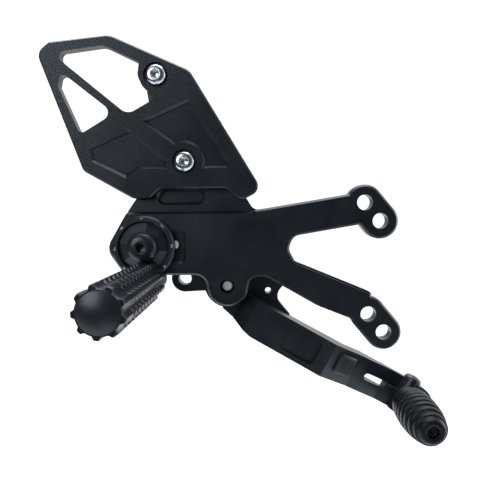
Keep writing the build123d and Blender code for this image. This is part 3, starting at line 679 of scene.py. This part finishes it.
def lever_pad():
    """Flat-topped pyramids inside the rim of the raised pad on the lever's slope."""
    slope = radians(PAD_SLOPE)
    along = lever_direction(cos(slope), 0, sin(slope))
    out = lever_direction(-sin(slope), 0, cos(slope))
    place = frame_of(lever_point(*PAD_AT), along, out)
    step_u = PAD_SIZE[0] / KNURL[0]
    step_v = PAD_SIZE[1] / KNURL[1]
    low, high = PYRAMID_FLAT
    verts = []
    faces = []
    for i in range(KNURL[0]):
        for j in range(KNURL[1]):
            x = -PAD_SIZE[0] / 2 + i * step_u
            y = -PAD_SIZE[1] / 2 + j * step_v
            first = len(verts)
            for start, end, z in ((0, 1, PYRAMID_FOOT), (low, high, PYRAMID_TOP)):
                corners = ((start, start), (end, start), (end, end), (start, end))
                verts += [(x + step_u * a, y + step_v * b, z) for a, b in corners]
            for a in range(4):
                b = (a + 1) % 4
                faces.append((first + a, first + b, first + 4 + b, first + 4 + a))
            faces.append((first + 4, first + 5, first + 6, first + 7))
    piece = new_piece("lever_pad_knurl", verts, faces, place, 10.0)
    paint_piece(piece, plain_black)
    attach(piece, "lever")


lever_pad()

# ---------------------------------------------------------------- markings
NUMBERS = 8
NUMBER_R = 16.5               # the numbers' distance from the eccentric's axis
NUMBER_SIZE = 2.5
NUMBER_LIFT = 0.03            # height of the paint over the disc
FIRST_NUMBER_ANGLE = 90       # place of number 1 on the dial, in degrees from +X


def dial_numbers():
    """White numbers around the rim of the eccentric."""
    step = 360 / NUMBERS
    for number in range(1, NUMBERS + 1):
        angle = radians(FIRST_NUMBER_ANGLE - step * (number - 1))
        curve = bpy.data.curves.new("dial_number_%d" % number, "FONT")
        curve.body = str(number)
        curve.size = NUMBER_SIZE
        curve.align_x = "CENTER"
        curve.align_y = "CENTER"
        curve.extrude = 0.01
        piece = bpy.data.objects.new("dial_number_%d" % number, curve)
        x = ECC[0] + NUMBER_R * cos(angle)
        z = ECC[1] + NUMBER_R * sin(angle)
        spot = face(x, z, DISC_TOP_H + NUMBER_LIFT)
        piece.matrix_world = spot @ Matrix.Rotation(angle, 4, "Z")
        bpy.context.scene.collection.objects.link(piece)
        curve.materials.append(paint)
        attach(piece, "peg")


dial_numbers()


INDEX_AT = (-110.35, 12.9)    # middle of the index mark's straight side
INDEX_W = 1.5
INDEX_HALF_L = 2.3
INDEX_TOP_H = 9.4
INDEX_DEPTH = 3.3


def index_mark():
    """White half-moon plug beside the dial that its numbers are read against."""
    points = [(0.0, -INDEX_HALF_L)]
    for degrees in range(-80, 81, 10):
        angle = radians(degrees)
        points.append((INDEX_W * cos(angle), INDEX_HALF_L * sin(angle)))
    points.append((0.0, INDEX_HALF_L))
    verts = [(x, y, 0.0) for x, y in points] + [(x, y, -INDEX_DEPTH) for x, y in points]
    count = len(points)
    faces = [tuple(range(count))]
    faces += [(i, (i + 1) % count, count + (i + 1) % count, count + i) for i in range(count)]
    piece = new_piece("dial_index_mark", verts, faces, face(*INDEX_AT, INDEX_TOP_H))
    paint_piece(piece, paint)
    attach(piece, "bracket")


index_mark()

# ---------------------------------------------------------------- stage, light and camera, in metres
FLOOR_Z = -0.25
FLOOR_REACH = 1.1
FLOOR_FRONT = -0.35           # the floor's outboard edge
WORLD_STRENGTH = 1.12
REAR_DIM = 0.08               # share of the surroundings' light from the rear, on the heel guard's side
OUTBOARD_DIM = 0.07           # share of it from the outboard side
REAR_FADE = (-0.80, 0.30)     # X of the directions over which the rear's light rises to full
OUTBOARD_FADE = (-0.70, 0.10)         # Y of the directions over which the outboard light rises to full
SOFT_BOXES = {                # place, point aimed at, side and power in watts
    "key": ((-0.8, -1.1, 0.55), (-0.08, 0, 0.03), 0.8, 10.0),
    "low": ((-0.1, -0.75, -0.55), (-0.13, -0.1, 0), 0.3, 0.4),
    "right": ((1.2, 0.2, 0.1), (-0.05, 0, 0), 0.8, 5.0),
    "top": ((0.0, 0.5, 1.4), (-0.05, 0.4, 0), 1.6, 40.0),
}
CAMERA_AT = (-0.0647, -0.2858, 0.0306)
CAMERA_PAN = 1.66             # degrees to the left
CAMERA_DROP = 3.42            # degrees below the horizontal
CAMERA_ROLL = -2.6
SENSOR = 36.0                 # in millimetres, as is the lens
LENS = 35.94


def floor():
    """Pale floor below the object."""
    size = FLOOR_REACH
    mesh = bpy.data.meshes.new("floor")
    corners = [(-size, FLOOR_FRONT), (size, FLOOR_FRONT), (size, size), (-size, size)]
    mesh.from_pydata([(x, y, FLOOR_Z) for x, y in corners], [], [(0, 1, 2, 3)])
    piece = bpy.data.objects.new("floor", mesh)
    bpy.context.scene.collection.objects.link(piece)
    paint_piece(piece, soft("floor_paper", (0.93, 0.93, 0.93), 0.9, 0.00001))


def world_light(strength):
    """Surroundings that light the object more from inboard than outboard, and look white behind it."""
    world = bpy.data.worlds.new("studio")
    bpy.context.scene.world = world
    world.use_nodes = True
    nodes = world.node_tree.nodes
    links = world.node_tree.links
    coords = nodes.new("ShaderNodeTexCoord")
    split = nodes.new("ShaderNodeSeparateXYZ")
    links.new(coords.outputs["Generated"], split.inputs[0])
    depth = remap(nodes, links, split.outputs["Y"], *OUTBOARD_FADE, OUTBOARD_DIM, 1.0)
    side = remap(nodes, links, split.outputs["X"], *REAR_FADE, REAR_DIM, 1.0)
    level = maths(nodes, links, "MULTIPLY", depth, side)
    seen = nodes.new("ShaderNodeLightPath").outputs["Is Camera Ray"]
    background = nodes["Background"]
    links.new(maths(nodes, links, "MAXIMUM", level, seen), background.inputs["Color"])
    background.inputs["Strength"].default_value = strength


def soft_box(name, spot, aim, size, power):
    """Square area light aimed at a point."""
    data = bpy.data.lights.new(name, "AREA")
    data.shape = "SQUARE"
    data.size = size
    data.energy = power
    light = bpy.data.objects.new(name, data)
    light.location = spot
    light.rotation_euler = (Vector(aim) - Vector(spot)).to_track_quat("-Z", "Y").to_euler()
    bpy.context.scene.collection.objects.link(light)


def camera():
    """Camera outboard of the bracket, a little above it, looking slightly down and rolled."""
    data = bpy.data.cameras.new("camera")
    data.lens = LENS
    data.sensor_width = SENSOR
    data.clip_start = 0.01
    view = bpy.data.objects.new("camera", data)
    pan = Matrix.Rotation(radians(CAMERA_PAN), 4, "Z")
    tilt = Matrix.Rotation(pi / 2 - radians(CAMERA_DROP), 4, "X")
    roll = Matrix.Rotation(radians(CAMERA_ROLL), 4, "Z")
    view.matrix_world = Matrix.Translation(CAMERA_AT) @ (pan @ tilt @ roll)
    bpy.context.scene.collection.objects.link(view)
    bpy.context.scene.camera = view


floor()
world_light(WORLD_STRENGTH)
for light_name, (spot, aim, size, power) in SOFT_BOXES.items():
    soft_box(light_name, spot, aim, size, power)
bpy.context.scene.view_settings.view_transform = "Standard"
camera()
